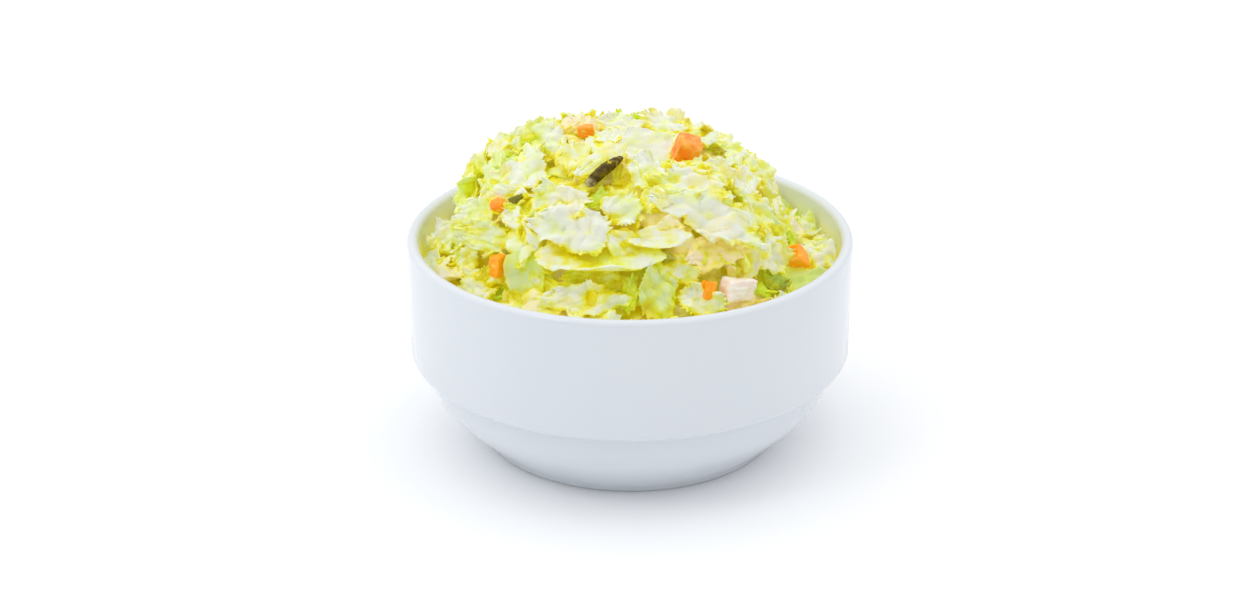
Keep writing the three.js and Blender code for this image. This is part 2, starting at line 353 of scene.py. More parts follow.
def lathe_tree():
    """Turns the host's line of points, which lies in XZ, round +Z."""
    tree, given, result = new_group(
        "GeometryNodeTree",
        "turned about the bowl's axis",
        [("Profile", GEOMETRY), ("Sides", "NodeSocketInt", 64), ("Finish", "NodeSocketMaterial")],
        [("Turned", GEOMETRY)],
    )
    position = output(tree, "GeometryNodeInputPosition")
    count = node(tree, "GeometryNodeAttributeDomainSize", {0: given["Profile"]}).outputs["Point Count"]
    rows = math_node(tree, "ADD", given["Sides"], 1.0)
    size = {"Size X": 1.0, "Size Y": 1.0, "Vertices X": count, "Vertices Y": rows}
    grid = output(tree, "GeometryNodeMeshGrid", size)
    place = node(tree, "ShaderNodeSeparateXYZ", {0: position}).outputs
    share = math_node(tree, "ADD", place["X"], 0.5)
    index = math_node(tree, "MULTIPLY", share, math_node(tree, "SUBTRACT", count, 1.0))
    angle = math_node(tree, "MULTIPLY", place["Y"], TURN)
    sample = output(
        tree,
        "GeometryNodeSampleIndex",
        {"Geometry": given["Profile"], "Value": position, "Index": math_node(tree, "ROUND", index)},
        data_type="FLOAT_VECTOR",
        domain="POINT",
    )
    turned = output(
        tree, "ShaderNodeVectorRotate", {"Vector": sample, "Angle": angle}, rotation_type="Z_AXIS"
    )
    shell = output(tree, "GeometryNodeSetPosition", {"Geometry": grid, "Position": turned})
    shell = output(tree, "GeometryNodeMergeByDistance", {"Geometry": shell, "Distance": MERGE_METRES})
    shell = output(tree, "GeometryNodeSetShadeSmooth", {"Geometry": shell})
    shell = output(tree, "GeometryNodeSetMaterial", {"Geometry": shell, "Material": given["Finish"]})
    tree.links.new(shell, result["Turned"])
    return tree


def make_bowl(finish):
    profile = bowl_profile()
    line = bpy.data.meshes.new("bowl profile")
    points = np.stack([profile[:, 0], 0 * profile[:, 0], profile[:, 1]], 1) * MM
    line.from_pydata(points.tolist(), [(i, i + 1) for i in range(len(points) - 1)], [])
    mesh = grown("bowl lathe", line, lathe_tree(), {"Sides": BOWL_SIDES, "Finish": finish})
    return piece("porcelain_bowl", mesh, "glaze", "bowl")


# Heap of salad

def heap_profile(climb):
    """Radius and height of the bare heap at a climb: a smooth curve through the profile's points."""
    climb = np.clip(np.asarray(climb, float), 0, 1)
    last = len(HEAP_PROFILE) - 1
    at = climb * last
    k = np.minimum(np.floor(at).astype(int), last - 1)
    w = (at - k)[..., None]
    p0, p1, p2, p3 = (HEAP_PROFILE[np.clip(k + i, 0, last)] for i in (-1, 0, 1, 2))
    v0, v1 = (p2 - p0) / 2, (p3 - p1) / 2
    return (2 * p1 - 2 * p2 + v0 + v1) * w**3 + (-3 * p1 + 3 * p2 - 2 * v0 - v1) * w**2 + v0 * w + p1


def heap_point(bearing, climb):
    """A point of the bare heap, off the round and leaning to the left as it rises."""
    bearing, climb = np.broadcast_arrays(np.asarray(bearing, float), np.asarray(climb, float))
    radius, height = np.moveaxis(heap_profile(climb), -1, 0)
    rise = np.clip((height - FILL_HEIGHT) / (HEAP_TOP - FILL_HEIGHT), 0, 1)
    lobes = sum(depth * np.cos(count * bearing + start) for count, depth, start in HEAP_LOBES)
    radius = radius * (1 + np.minimum(1, 4 * rise) * lobes)
    return np.stack([radius * np.cos(bearing) + HEAP_LEAN * rise, radius * np.sin(bearing), height], -1)


def heap_frame(bearing, climb):
    """Origin and axes on the heap: level round it, up its slope and straight out of it."""
    step = 1e-3
    level = unit(heap_point(bearing + step, climb) - heap_point(bearing - step, climb))
    slope = heap_point(bearing, climb + step) - heap_point(bearing, climb - step)
    out = unit(np.cross(level, slope))
    return heap_point(bearing, climb), np.stack([level, np.cross(out, level), out], 1)


def turned_by(points, axis, degrees):
    """Points turned about the X axis (0) or the Z axis (2)."""
    c, s = math.cos(math.radians(degrees)), math.sin(math.radians(degrees))
    matrix = np.array([[1, 0, 0], [0, c, -s], [0, s, c]] if axis == 0 else [[c, -s, 0], [s, c, 0], [0, 0, 1]])
    return points @ matrix.T


def laid_on_heap(points, bearing, climb, turn, tip, lift):
    """Places a piece on the slope: tipped on its long side, turned and lifted."""
    origin, axes = heap_frame(math.radians(bearing), climb)
    points = turned_by(turned_by(points, 0, tip), 2, turn)
    return origin + (points + (0, 0, lift)) @ axes.T


def heap_surface(rounds, rows, sink):
    """The surface that far inside the bare heap, less so at the wall, in rows that close at the top."""
    bearings = np.linspace(0, TURN, rounds, endpoint=False)
    climbs = np.linspace(0, 1, rows + 1)[:-1]
    points = heap_point(bearings[None, :], climbs[:, None]).reshape(-1, 3)
    points = np.vstack([points, heap_point(0.0, 1.0)])
    sinks = sink * np.interp(np.append(np.repeat(climbs, rounds), 1), SINK_CLIMBS, SINK_SHARES)
    points = points - sinks[:, None] * unit_rows(points - HEAP_MIDDLE)
    row, col = grid_pairs(np.arange(rows - 1), np.arange(rounds))
    a, b = row * rounds + col, row * rounds + (col + 1) % rounds
    quads = np.stack([a, b, b + rounds, a + rounds], 1)
    ring = (rows - 1) * rounds + np.arange(rounds)
    top = np.stack([ring, np.roll(ring, -1), np.full(rounds, len(points) - 1)], 1)
    return points, [*quads.tolist(), *top.tolist()]


HEAP_TREE = BVHTree.FromPolygons(*heap_surface(*HEAP_GRID, LEAF_SINK))


def seen_at(across, up):
    """Where the heap shows, and which way it faces, at a place in the picture plane through the bowl."""
    middle = Vector((0, 0, VIEW_TARGET_HEIGHT))
    eye = middle + VIEW_DISTANCE * Vector(TO_VIEWER)
    place = Vector((across, up * math.sin(VIEW_TILT), up * math.cos(VIEW_TILT)))
    ray = (middle + place - eye).normalized()
    hit, normal, _, _ = HEAP_TREE.ray_cast(eye, ray)
    if hit is None:
        along = range(-SEARCH_REACH, SEARCH_REACH, SEARCH_STEP)
        passed = [HEAP_TREE.find_nearest(eye + ray * (VIEW_DISTANCE + reach)) for reach in along]
        hit, normal = min(passed, key=lambda found: found[3])[:2]
    return np.array(hit), np.array(normal)


def shown_on_heap(points, across, up, turn, tip, face, lift):
    """Places a piece where it shows in the picture, its face turned from the slope towards the viewer."""
    origin, normal = seen_at(across, up)
    out = unit((1 - face) * normal + face * np.array(TO_VIEWER))
    level = unit(np.array([1, 0, 0]) - out[0] * out)
    points = turned_by(turned_by(points, 0, tip), 2, turn) @ np.stack([level, np.cross(out, level), out])
    return origin + points + normal * (lift - SCRAP_BITE - (points @ normal).min())


# Shapes of the chopped pieces, each (points, faces, attributes)

def cut_outline(draw, angle, cuts):
    """Radius of a chopped outline at each angle: straight cuts between uneven corners."""
    corner = (np.arange(cuts) + draw.uniform(-0.3, 0.3, cuts)) * TURN / cuts + draw.uniform(0, TURN)
    reach = draw.uniform(0.85, 1.15, cuts)
    k = np.searchsorted(corner, corner[0] + (angle - corner[0]) % TURN, side="right") - 1
    after = np.append(corner, corner[0] + TURN)[k + 1]
    near, far = reach[k], reach[(k + 1) % cuts]
    past = (angle - corner[k]) % TURN
    gap = after - corner[k]
    return near * far * np.sin(gap) / (near * np.sin(past) + far * np.sin(gap - past))


def leaf_shape(draw, length, width, thick, cuts=6, corners=0, curl=40, bow=0.8, crumple=0.7, ragged=0.12,
               blister=0.4, veins=0.2, cells=9):
    """A scrap of leaf: a ragged sheet, curled about its long axis, bowed along it, crumpled and blistered.

    Its outline has straight cuts, or is a superellipse where corners are given. Its veins fan out from
    one end."""
    steps = np.linspace(-1, 1, cells + 1)
    a, b = grid_pairs(steps, steps)
    x, y = a * np.sqrt(1 - b**2 / 2), b * np.sqrt(1 - a**2 / 2)
    share, angle = np.hypot(x, y), np.arctan2(y, x)
    edge = share > 0.98
    around = np.stack([np.cos(angle), np.sin(angle)], 1)
    if corners:
        outline = (np.abs(around) ** corners).sum(1) ** (-1 / corners)
    else:
        outline = cut_outline(draw, angle, cuts)
    outline = 1 + (outline - 1 + 0.06 * ripple(around, draw, 0.8)) * share**2
    fan = np.arctan2(share * np.sin(angle), share * np.cos(angle) + draw.uniform(1.15, 1.6))
    vein = np.cos(draw.uniform(12, 22) * fan + draw.uniform(0, TURN))
    torn = 0.5 - np.abs(ripple(around, draw, 0.2)) + 0.4 * ripple(around, draw, 0.1)
    teeth = torn + 0.4 * vein + draw.uniform(-0.3, 0.1, len(a)) * edge
    reach = share * outline * (1 + ragged * teeth * np.clip((share - 0.8) / 0.2, 0, 1))
    u, v = reach * np.cos(angle), reach * np.sin(angle)
    flat = np.stack([u * length / 2, v * width / 2], 1)
    bend = math.radians(max(curl, 1)) / 2
    frill = crumple * (0.4 + 0.6 * share**2)
    margin = np.clip((share - 0.5) / 0.5, 0, 1) ** 2
    sheet = np.stack(
        [
            flat[:, 0] + 0.3 * frill * ripple(flat, draw, 3.5),
            np.sin(v * bend) * width / 2 / bend + 0.3 * frill * ripple(flat, draw, 3.5),
            (1 - np.cos(v * bend)) * width / 2 / bend
            + bow * u**2
            + frill * ripple(flat, draw, 4.5)
            + FRILL * crumple * margin * ripple(flat, draw, 1.8)
            + veins * vein * (0.3 + 0.7 * share)
            + blister * (ripple(flat, draw, 2.4) + 0.4 * ripple(flat, draw, 1.1)),
        ],
        1,
    )
    row = cells + 1
    i, j = grid_pairs(np.arange(cells), np.arange(cells))
    at = i * row + j
    tris = np.vstack([np.stack([at, at + row, at + row + 1], 1), np.stack([at, at + row + 1, at + 1], 1)])
    slants = np.cross(sheet[tris[:, 1]] - sheet[tris[:, 0]], sheet[tris[:, 2]] - sheet[tris[:, 0]])
    normals = np.zeros_like(sheet)
    np.add.at(normals, tris.ravel(), np.repeat(slants, 3, axis=0))
    half = (0.5 * thick * (1 - THIN_MARGIN * share**3) * (1 + 0.25 * ripple(flat, draw, 2.5)))[:, None]
    points = np.vstack([sheet + half * unit_rows(normals), sheet - half * unit_rows(normals)])
    k = np.arange(cells)
    rim = np.concatenate([k * row, cells * row + k, (cells - k) * row + cells, cells - k])
    ahead = np.roll(rim, -1)
    count = len(sheet)
    wall = [np.stack([ahead, rim, rim + count], 1), np.stack([ahead, rim + count, ahead + count], 1)]
    faces = np.vstack([tris, tris[:, ::-1] + count, *wall])
    vein = np.clip(0.5 * vein, -0.5, 0.5) + 0.6 * edge
    return points, faces, {"vein": np.tile(vein, 2), "heart": np.tile(np.clip(1 - 1.3 * share**2, 0, 1), 2)}


def block_shape(draw, size, cells=5, roundness=7.0, rough=0.12, skew=0.12):
    """A cut block with softened edges and uneven faces."""
    steps = np.linspace(-1, 1, cells + 1)
    a, b = grid_pairs(steps, steps)
    one = np.ones_like(a)
    sides = ((a, b, one), (b, a, -one), (one, a, b), (-one, b, a), (b, one, a), (a, -one, b))
    i, j = grid_pairs(np.arange(cells), np.arange(cells))
    corner = i * (cells + 1) + j
    quad = np.stack([corner, corner + cells + 1, corner + cells + 2, corner + 1], 1)
    points = np.vstack([np.stack(side, 1) for side in sides])
    faces = np.vstack([quad + k * len(a) for k in range(6)])
    _, first, back = np.unique(np.round(points, 5), axis=0, return_index=True, return_inverse=True)
    points, faces = points[first], back.ravel()[faces]
    points = points / (np.abs(points) ** roundness).sum(1, keepdims=True) ** (1 / roundness)
    lean = draw.uniform(-skew, skew, (3, 3))
    points = points + points[:, [1, 2, 0]] * points[:, [2, 0, 1]] * lean[0] + points[:, [1, 2, 0]] * lean[1]
    points = points * (np.asarray(size) / 2)
    points = points + rough * unit_rows(points) * (
        ripple(points, draw, 0.35 * min(size)) + 0.6 * ripple(points, draw, 0.15 * min(size))
    )[:, None]
    faces = np.vstack([faces[:, [0, 1, 2]], faces[:, [0, 2, 3]]])
    return points, faces, {"vein": np.zeros(len(points))}


def tube_faces(steps, sides):
    """Triangles of a tube made of rings of points, with a fan over each end."""
    row, col = grid_pairs(np.arange(steps), np.arange(sides))
    a, b = row * sides + col, row * sides + (col + 1) % sides
    spin = np.arange(1, sides - 1)
    first = np.stack([0 * spin, spin + 1, spin], 1)
    last = np.stack([0 * spin, spin, spin + 1], 1) + steps * sides
    return np.vstack([np.stack([a, b, b + sides], 1), np.stack([a, b + sides, a + sides], 1), first, last])


def strip_shape(draw, length, width, thick, bend=60, twist=40, steps=12, sides=6):
    """A shred: a strip with a lens-shaped section, bent along its length and twisted."""
    s = np.linspace(-1, 1, steps + 1)
    around = np.linspace(0, TURN, sides, endpoint=False)
    half_bend = math.radians(max(bend, 1)) / 2
    radius = length / 2 / half_bend
    taper = (1 - 0.75 * np.abs(s) ** 4) * (1 + 0.15 * ripple(s[:, None], draw, 0.5))
    roll = math.radians(twist) * s
    y0 = taper[:, None] * np.cos(around) * width / 2
    z0 = taper[:, None] * np.sin(around) * thick / 2
    y = y0 * np.cos(roll)[:, None] - z0 * np.sin(roll)[:, None]
    z = y0 * np.sin(roll)[:, None] + z0 * np.cos(roll)[:, None]
    lean = half_bend * s
    x = (radius - z) * np.sin(lean)[:, None]
    z = radius - (radius - z) * np.cos(lean)[:, None]
    y = y + (0.08 * length * ripple(s[:, None], draw, 0.9))[:, None]
    points = np.stack([x, y, z], -1).reshape(-1, 3)
    return points, tube_faces(steps, sides), {"vein": np.zeros(len(points))}


def spindle_shape(draw, length, width, thick, steps=48, sides=24):
    """A strip off the skin side of a gherkin: blunt at one end, tapered at the other, ridged and warty."""
    s = np.linspace(-1, 1, steps + 1)
    around = np.linspace(0, TURN, sides, endpoint=False)
    narrowing = np.where(s < 0, 0.22 * s**2, 0.62 * np.abs(s) ** 1.7)
    taper = np.sqrt(np.clip(1 - s**10, 0, 1)) * (1 - narrowing) + 0.02
    ridges = 1 + 0.05 * np.cos(5 * around)
    x = np.broadcast_to((s * length / 2)[:, None], (steps + 1, sides))
    y = taper[:, None] * np.cos(around) * ridges * width / 2
    z = taper[:, None] * np.sin(around) * ridges * thick / 2 + (0.04 * length * (1 - s**2))[:, None]
    points = np.stack([x, y, z], -1).reshape(-1, 3)
    points += 0.08 * ripple(points, draw, 0.9)[:, None] * unit_rows(points * (0, 1, 1))
    return points, tube_faces(steps, sides), {"cut": np.repeat(np.clip((-s - 0.72) / 0.2, 0, 1), sides)}


# Scattering over the heap

def settle_tree():
    """Keeps pieces inside the bowl's wall."""
    tree, given, result = new_group(
        "GeometryNodeTree",
        "settled in the bowl",
        [("Pieces", GEOMETRY), ("Wall radius", FLOAT, SALAD_RADIUS * MM)],
        [("Settled", GEOMETRY)],
    )
    position = output(tree, "GeometryNodeInputPosition")
    share = math_node(tree, "DIVIDE", given["Wall radius"], axis_distance(tree, position))
    share = math_node(tree, "MINIMUM", share, 1.0)
    squeeze = output(tree, "ShaderNodeCombineXYZ", {"X": share, "Y": share, "Z": 1.0})
    inside = vector_math(tree, "MULTIPLY", position, squeeze)
    moved = output(tree, "GeometryNodeSetPosition", {"Geometry": given["Pieces"], "Position": inside})
    tree.links.new(moved, result["Settled"])
    return tree


def crevice_tree():
    """Stores at each point of a pile the share of the ways out of it that lead to no light from above: the
    mask for painted shade.
    """
    tree, given, result = new_group(
        "GeometryNodeTree",
        "how closed in",
        [("Pile", GEOMETRY), ("Reach", FLOAT, 0.006), ("Start", FLOAT, 0.0003)],
        [("Pile", GEOMETRY)],
    )
    normal = output(tree, "GeometryNodeInputNormal")
    off = scaled(tree, normal, given["Start"])
    start = vector_math(tree, "ADD", output(tree, "GeometryNodeInputPosition"), off)
    closed = 0.0
    for k in range(CREVICE_RAYS):
        height = 1 - (2 * k + 1) / CREVICE_RAYS
        level = math.sqrt(1 - height**2)
        angle = k * math.pi * (3 - math.sqrt(5))
        spread = (level * math.cos(angle), level * math.sin(angle), height)
        way = vector_math(tree, "ADD", normal, spread)
        ray = node(
            tree,
            "GeometryNodeRaycast",
            {
                "Target Geometry": given["Pile"],
                "Source Position": start,
                "Ray Direction": way,
                "Ray Length": given["Reach"],
            },
        )
        rise = node(tree, "ShaderNodeSeparateXYZ", {0: way}).outputs["Z"]
        dim = math_node(tree, "MAXIMUM", span(tree, rise, 0.0, -0.5, 0.0, DIM_BELOW), ray.outputs["Is Hit"])
        closed = math_node(tree, "MULTIPLY_ADD", dim, 1 / CREVICE_RAYS, closed)
    soft = output(tree, "GeometryNodeBlurAttribute", {0: closed, "Iterations": 3}, data_type="FLOAT")
    tree.links.new(with_value(tree, given["Pile"], "closed", soft, "POINT"), result["Pile"])
    return tree


def scatter_tree(settle):
    """Strews the pieces of a collection over the host surface, each leaning its own way."""
    tree, given, result = new_group(
        "GeometryNodeTree",
        "strewn over the heap",
        [
            ("Surface", GEOMETRY),
            ("Kinds", "NodeSocketCollection"),
            ("Spacing", FLOAT, 0.006),
            ("Smallest", FLOAT, 0.8),
            ("Largest", FLOAT, 1.2),
            ("Lean", FLOAT, 0.6),
            ("Lowest", FLOAT, 0.0),
            ("Highest", FLOAT, 0.002),
            ("Clear of", "NodeSocketObject"),
            ("Clearance", FLOAT, 0.002),
            ("Wall radius", FLOAT, SALAD_RADIUS * MM),
            ("Greenest", FLOAT, 1.2),
            ("Yellowest", FLOAT, 0.5),
            ("Seed", "NodeSocketInt", 1),
            ("Finish", "NodeSocketMaterial"),
        ],
        [("Strewn", GEOMETRY)],
    )

    def seed(offset):
        return math_node(tree, "ADD", given["Seed"], float(offset))

    def random_value(low, high, offset):
        made = node(tree, "FunctionNodeRandomValue", {2: low, 3: high, 8: seed(offset)}, data_type="FLOAT")
        return made.outputs[1]

    densest = math_node(tree, "DIVIDE", 4.0, math_node(tree, "POWER", given["Spacing"], 2.0))
    spread = node(
        tree,
        "GeometryNodeDistributePointsOnFaces",
        {
            "Mesh": given["Surface"],
            "Distance Min": given["Spacing"],
            "Density Max": densest,
            "Seed": given["Seed"],
        },
        distribute_method="POISSON",
    ).outputs
    kept = node(tree, "GeometryNodeObjectInfo", {"Object": given["Clear of"]}).outputs["Geometry"]
    near = node(tree, "GeometryNodeProximity", {0: kept}, target_element="FACES").outputs["Distance"]
    close = output(tree, "FunctionNodeCompare", {0: near, 1: given["Clearance"]}, operation="LESS_THAN")
    points = output(
        tree, "GeometryNodeDeleteGeometry", {"Geometry": spread["Points"], "Selection": close}, domain="POINT"
    )
    lift = scaled(tree, spread["Normal"], random_value(given["Lowest"], given["Highest"], 1))
    raised = output(tree, "GeometryNodeSetPosition", {"Geometry": points, "Offset": lift})
    down = math_node(tree, "MULTIPLY", given["Lean"], -1.0)
    lean = {
        "X": random_value(down, given["Lean"], 2),
        "Y": random_value(down, given["Lean"], 3),
        "Z": random_value(0.0, TURN, 4),
    }
    own_turn = output(tree, "FunctionNodeEulerToRotation", {0: output(tree, "ShaderNodeCombineXYZ", lean)})
    facing = output(
        tree, "FunctionNodeRotateRotation", {0: spread["Rotation"], 1: own_turn}, rotation_space="LOCAL"
    )
    kinds = output(
        tree,
        "GeometryNodeCollectionInfo",
        {"Collection": given["Kinds"], "Separate Children": True, "Reset Children": True},
    )
    pick = node(tree, "FunctionNodeRandomValue", {4: 0, 5: 1000, 8: seed(5)}, data_type="INT").outputs[2]
    strewn = output(
        tree,
        "GeometryNodeInstanceOnPoints",
        {
            "Points": raised,
            "Instance": kinds,
            "Pick Instance": True,
            "Instance Index": pick,
            "Rotation": facing,
            "Scale": random_value(given["Smallest"], given["Largest"], 6),
        },
    )
    for label, least, most, offset in (
        ("tint", given["Yellowest"], 1.0, 7),
        ("leafy", 0.0, given["Greenest"], 8),
        ("tan", 0.0, 1.0, 9),
    ):
        strewn = with_value(tree, strewn, label, random_value(least, most, offset), "INSTANCE")
    real = output(tree, "GeometryNodeRealizeInstances", {0: strewn})
    inside = output(
        tree, "GeometryNodeGroup", {"Pieces": real, "Wall radius": given["Wall radius"]}, node_tree=settle
    )
    dressed = output(tree, "GeometryNodeSetMaterial", {"Geometry": inside, "Material": given["Finish"]})
    tree.links.new(dressed, result["Strewn"])
    return tree


def kinds_collection(name, shapes):
    """A collection of loose pieces to strew."""
    made = bpy.data.collections.new(name)
    for i, shape in enumerate(shapes):
        made.objects.link(bpy.data.objects.new(f"{name} {i}", new_mesh(f"{name} {i}", *shape)))
    return made


# Materials

def food_grain_group():
    """Uneven patches and a fine wet grain that all the chopped food shares."""
    group, given, result = new_group(
        "ShaderNodeTree",
        "food grain",
        [("Patch scale", FLOAT, 150.0), ("Grain scale", FLOAT, 1200.0)],
        [("Patch", FLOAT), ("Grain", FLOAT), ("Drift", FLOAT)],
    )
    place = node(group, "ShaderNodeTexCoord").outputs["Object"]
    for label, scale, detail in (
        ("Drift", math_node(group, "MULTIPLY", given["Patch scale"], 0.55), 3.0),
        ("Patch", given["Patch scale"], 4.0),
        ("Grain", given["Grain scale"], 3.0),
    ):
        noise = output(group, "ShaderNodeTexNoise", {"Vector": place, "Scale": scale, "Detail": detail})
        group.links.new(noise, result[label])
    return group


def new_material(name):
    made = bpy.data.materials.new(name)
    made.use_nodes = True
    return made, made.node_tree


def food_material(name, grain, patch_scale, grain_scale):
    """A new material, with the outputs of the shared food grain at its own scales."""
    made, tree = new_material(name)
    scales = {"Patch scale": patch_scale, "Grain scale": grain_scale}
    return made, tree, node(tree, "ShaderNodeGroup", scales, node_tree=grain).outputs


def finished(made, values):
    """The material, its shader's inputs fed from sockets or with constants."""
    fill(made.node_tree, made.node_tree.nodes["Principled BSDF"].inputs, values)
    return made


def ramp(tree, factor, *stops):
    """A colour ramp through (position, linear colour) stops."""
    made = node(tree, "ShaderNodeValToRGB", {0: factor})
    elements = made.color_ramp.elements
    while len(elements) < len(stops):
        elements.new(0.5)
    for element, (position, colour) in zip(elements, stops):
        element.position = position
        element.color = (*colour, 1)
    return made.outputs["Color"]


def attribute(tree, name):
    return node(tree, "ShaderNodeAttribute", attribute_name=name).outputs["Fac"]


def mixed(tree, factor, a, b):
    """A mix of two colours, each a socket or a linear colour."""
    a, b = (c if isinstance(c, bpy.types.NodeSocket) else (*c, 1) for c in (a, b))
    return node(tree, "ShaderNodeMix", {0: factor, 6: a, 7: b}, data_type="RGBA").outputs[2]


def bumped(tree, height, strength, distance):
    return output(tree, "ShaderNodeBump", {"Strength": strength, "Distance": distance, "Height": height})


def glaze_material():
    """White glaze, painted brighter on its inside wall to offset the heap's shade, with a yellow coat low on
    that wall that is partly dressing and partly a painted reflection of the salad, and a painted glow over
    it.
    """
    made, tree = new_material("white glaze")
    place = node(tree, "ShaderNodeTexCoord").outputs["Object"]
    drift = output(tree, "ShaderNodeTexNoise", {"Vector": place, "Scale": 18.0, "Detail": 2.0})
    white = ramp(tree, drift, (0.3, (0.695, 0.735, 0.785)), (0.7, (0.715, 0.75, 0.80)))
    height = node(tree, "ShaderNodeSeparateXYZ", {0: place}).outputs["Z"]
    lip_inside = (RIM_RADIUS - 2 * LIP_RADIUS) * MM
    wall_inside = (RIM_RADIUS - 2.4 * LIP_RADIUS) * MM
    inside = span(tree, axis_distance(tree, place), lip_inside, wall_inside, 0.0, 1.0)
    below = span(tree, height, (RIM_HEIGHT - 1) * MM, (FILL_HEIGHT + 2) * MM, 0.0, 1.0)
    in_band = span(tree, height, BAND_HEIGHT * MM, INSIDE_BAND_HEIGHT * MM, 0.0, 1.0)
    inside = math_node(tree, "MULTIPLY", inside, in_band)
    # a yellow coat low on the inside wall: partly dressing smeared there, partly a painted reflection of the
    # yellow salad
    film = math_node(tree, "MULTIPLY", inside, below)
    # painted light: the inside wall is a brighter white, to offset the shade that the heap and rim cast on it
    white = mixed(tree, inside, white, (0.93, 0.94, 0.93))
    return finished(
        made,
        {
            "Base Color": mixed(tree, film, white, (1.0, 0.96, 0.05)),
            # painted glow over the yellow coat on the inside wall
            "Emission Color": mixed(tree, film, (0, 0, 0), (0.33, 0.30, 0.01)),
            "Emission Strength": 1.0,
            "Roughness": span(tree, drift, 0.3, 0.7, 0.1, 0.16),
            "Normal": bumped(tree, drift, 0.05, 0.002),
        },
    )


def cabbage_material(grain):
    """Cabbage that runs from white to a deep yellow, with painted shade: the more closed in a point is, the
    deeper and darker its yellow, and closed-in places also get a painted glow.
    """
    made, tree, fine = food_material("dressed cabbage", grain, 260.0, 1500.0)
    shade = attribute(tree, "closed")
    # painted shade: the more closed in a point is, the lower the ramp's factor, down to a dark deep yellow
    closed = span(tree, shade, 0.15, 1.0, 0.36, -0.92)
    patch = span(tree, fine["Patch"], 0.33, 0.67, -0.42, 0.42)
    tint = span(tree, attribute(tree, "tint"), 0.0, 1.0, 0.27, 0.76)
    vein = span(tree, attribute(tree, "vein"), -0.5, 0.5, -0.06, 0.06)
    light = math_node(tree, "ADD", math_node(tree, "ADD", closed, patch), math_node(tree, "ADD", tint, vein))
    colour = ramp(
        tree,
        light,
        (0.0, (0.70, 0.58, 0.0)),
        (0.22, (0.80, 0.74, 0.007)),
        (0.5, (0.82, 0.82, 0.21)),
        (0.75, (0.82, 0.86, 0.48)),
        (1.0, (0.81, 0.845, 0.73)),
    )
    colour = mixed(tree, span(tree, fine["Drift"], 0.5, 0.68, 0.0, 0.4), colour, (0.68, 0.83, 0.09))
    colour = mixed(tree, span(tree, fine["Drift"], 0.46, 0.3, 0.0, 0.35), colour, (0.93, 0.78, 0.24))
    for kind, low, high, most, least, dye in (
        ("leafy", 0.72, 1.3, 1.0, 0.4, (0.52, 0.75, 0.03)),
        ("tan", 0.6, 1.2, 0.9, 0.3, (0.93, 0.74, 0.46)),
    ):
        share = span(tree, attribute(tree, kind), low, high, 0.0, most)
        share = math_node(tree, "MULTIPLY", share, span(tree, fine["Patch"], 0.35, 0.6, least, 1.0))
        colour = mixed(tree, share, colour, dye)
    colour = mixed(tree, attribute(tree, "herb"), colour, (0.19, 0.17, 0.0))
    # painted glow in the cabbage's own colour where points are closed in, standing in for light that comes
    # through the leaves
    rising = span(tree, shade, 0.15, 0.7, 0.0, 0.19)
    falling = span(tree, shade, 0.7, 1.0, 0.19, 0.15)
    return finished(
        made,
        {
            "Base Color": colour,
            "Emission Color": mixed(tree, math_node(tree, "MINIMUM", rising, falling), (0, 0, 0), colour),
            "Emission Strength": 1.0,
            "Roughness": span(tree, fine["Grain"], 0.3, 0.7, 0.3, 0.5),
            "Specular IOR Level": 0.3,
            "Subsurface Weight": 0.3,
            "Subsurface Radius": (1.0, 0.95, 0.6),
            "Subsurface Scale": 0.0025,
            "Normal": bumped(tree, fine["Grain"], 0.25, 0.0004),
        },
    )


def carrot_material(grain):
    made, tree, fine = food_material("carrot", grain, 380.0, 2200.0)
    colour = ramp(
        tree,
        fine["Patch"],
        (0.3, (0.92, 0.14, 0.002)),
        (0.5, (0.96, 0.26, 0.004)),
        (0.62, (0.98, 0.42, 0.04)),
        (0.72, (0.98, 0.62, 0.30)),
    )
    # how much yellower a die is, its own colour, which also sets how strong its painted glow is
    gold = attribute(tree, "gold")
    return finished(
        made,
        {
            "Base Color": mixed(tree, span(tree, gold, 0.0, 1.0, 0.0, 0.35), colour, (1.0, 0.42, 0.0)),
            # painted glow: faint on every carrot die, stronger on the yellower ones
            "Emission Color": mixed(tree, gold, (0.01, 0, 0), (0.19, 0.09, 0)),
            "Emission Strength": 1.0,
            "Roughness": span(tree, fine["Grain"], 0.3, 0.7, 0.22, 0.42),
            "Subsurface Weight": 0.2,
            "Subsurface Radius": (1.0, 0.4, 0.15),
            "Subsurface Scale": 0.0015,
            "Normal": bumped(tree, fine["Grain"], 0.3, 0.0003),
        },
    )


def gherkin_material(grain):
    made, tree, fine = food_material("pickled gherkin", grain, 480.0, 1800.0)
    skin = ramp(
        tree,
        fine["Patch"],
        (0.4, (0.06, 0.036, 0.0)),
        (0.58, (0.16, 0.105, 0.0)),
        (0.68, (0.34, 0.26, 0.015)),
        # the palest stop: pale specks, partly warts and partly painted glints
        (0.78, (0.85, 0.78, 0.40)),
    )
    flesh = span(tree, fine["Patch"], 0.4, 0.6, 0.2, 1.0)
    cut = math_node(tree, "MULTIPLY", attribute(tree, "cut"), flesh)
    warts = math_node(tree, "ADD", fine["Patch"], fine["Grain"])
    return finished(
        made,
        {
            "Base Color": mixed(tree, cut, skin, (0.45, 0.40, 0.20)),
            "Roughness": span(tree, fine["Grain"], 0.3, 0.7, 0.1, 0.3),
            "Specular IOR Level": 0.11,
            "Normal": bumped(tree, warts, 0.6, 0.0005),
        },
    )


